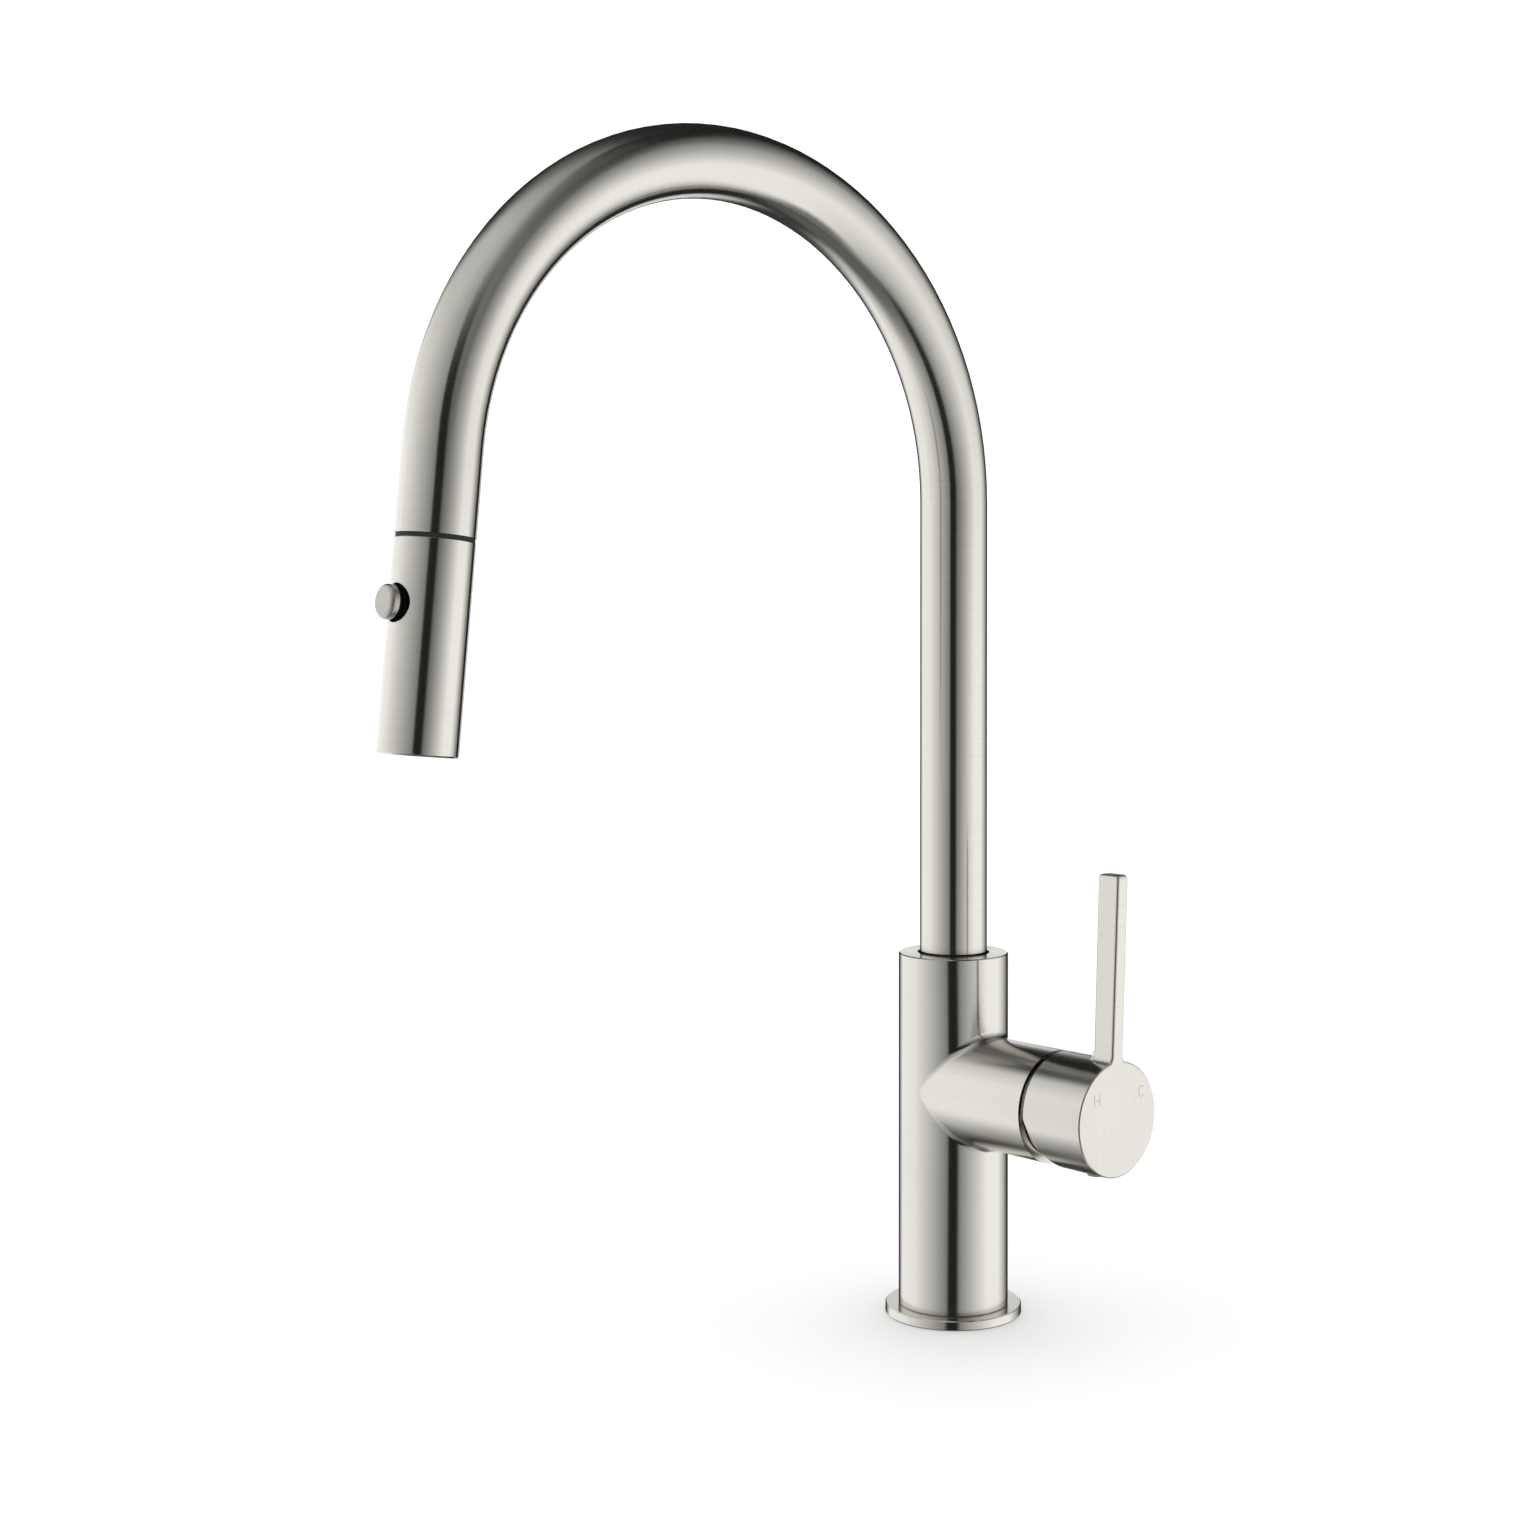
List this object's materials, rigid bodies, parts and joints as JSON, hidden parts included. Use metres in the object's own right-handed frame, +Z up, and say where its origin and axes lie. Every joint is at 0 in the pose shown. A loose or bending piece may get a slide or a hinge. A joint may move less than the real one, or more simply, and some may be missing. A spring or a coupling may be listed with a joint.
{
  "type": "pull down kitchen faucet",
  "caption": "Gooseneck kitchen faucet on a round base, with a side lever handle and a pull-down spray head with a push button, in brushed nickel.",
  "frame": {"origin": "centre of the base flange's underside, on the deck", "axes": "+Z up along the column, the spout reaches towards -Y, the handle arm points along +X"},
  "size_m": [0.1103, 0.2749, 0.4342],
  "materials": {
    "brushed_nickel": "fine brushed, satin, warm light grey",
    "polished_nickel": "polished rim",
    "plain_brass": "machined",
    "steel": "machined",
    "black_plastic": "satin moulded",
    "white_plastic": "moulded",
    "grey_plastic": "moulded",
    "black_rubber": "matt",
    "grey_rubber": "soft, matt",
    "ceramic": "lapped ceramic",
    "braid": "woven nylon braid"
  },
  "bodies": {
    "body": {"base_flange": "brushed_nickel", "base_seal": "black_rubber", "body_shell": "brushed_nickel", "base_block": "plain_brass", "hose_grommet": "black_plastic", "hot_feed_tube": "plain_brass", "cold_feed_tube": "plain_brass", "mixed_outlet_tube": "plain_brass", "valve_seat": "plain_brass", "cartridge_port_seals": "black_rubber", "cartridge_housing": "white_plastic", "cartridge_base": "white_plastic", "disc_seal_plate": "black_rubber", "fixed_disc": "ceramic", "cartridge_nut": "plain_brass", "dome_cover": "brushed_nickel", "lower_bush": "white_plastic", "anti_wobble_ring": "black_rubber", "slip_washer": "white_plastic", "swivel_bush": "black_plastic"},
    "carrier": {"cartridge_carrier": "white_plastic", "stem_pin": "steel"},
    "disc": {"moving_disc": "ceramic"},
    "handle": {"handle": "brushed_nickel", "cartridge_stem": "steel", "handle_grub_screw": "steel", "screw_plug": "grey_plastic"},
    "spout": {"spout_tube": "brushed_nickel", "pull_hose": "braid", "spout_collar": "plain_brass", "spout_circlip": "steel", "collar_set_screw": "steel", "dock_sleeve": "black_plastic", "dock_rim": "black_rubber"},
    "hose_end": {"hose_end_run": "braid", "hose_ferrule": "steel", "hose_swivel_cone": "plain_brass"},
    "spray_head": {"head_sleeve": "brushed_nickel", "inlet_nut": "plain_brass", "inlet_filter": "grey_rubber", "head_top_ring": "black_plastic", "head_core": "black_plastic", "check_valve": "white_plastic", "spray_face": "grey_plastic", "spray_nozzles": "grey_rubber", "aerator_housing": "white_plastic", "aerator_screen": "white_plastic", "face_o_ring": "black_rubber", "button_bush": "white_plastic", "button_spring": "steel"},
    "button": {"spray_button": "polished_nickel", "diverter_spool": "white_plastic", "spool_o_rings": "black_rubber"}
  },
  "joints": [
    {"name": "spout_swivel", "type": "hinge", "parent": "body", "child": "spout", "pos_m": [0, 0, 0.118], "axis": [0, 0, 1], "continuous": true},
    {"name": "handle_turn", "type": "hinge", "parent": "body", "child": "carrier", "pos_m": [0.055, 0, 0.0864], "axis": [1, 0, 0], "range_deg": [-50, 50]},
    {"name": "handle_lift", "type": "hinge", "parent": "carrier", "child": "handle", "pos_m": [0.055, 0, 0.0864], "axis": [0, 1, 0], "range_deg": [0, 20]},
    {"name": "disc_slide", "type": "slide", "parent": "carrier", "child": "disc", "axis": [0, 0, 1], "range_m": [0, 0.0034]},
    {"name": "head_pull", "type": "slide", "parent": "spout", "child": "hose_end", "axis": [0, -0.0976, -0.9952], "range_m": [0, 0.2], "deforming": ["hose_end_run"]},
    {"name": "head_spin", "type": "hinge", "parent": "hose_end", "child": "spray_head", "pos_m": [0, -0.23079, 0.27879], "axis": [0, -0.0976, -0.9952], "continuous": true},
    {"name": "button_press", "type": "slide", "parent": "spray_head", "child": "button", "axis": [0, 0.9952, -0.0976], "range_m": [0, 0.0025], "stiffness_N_per_m": 400, "springref_m": -0.002, "deforming": ["button_spring"]}
  ],
  "couplings": [
    {"joint": "disc_slide", "follows": "handle_lift", "m_per_rad": 0.0095}
  ]
}
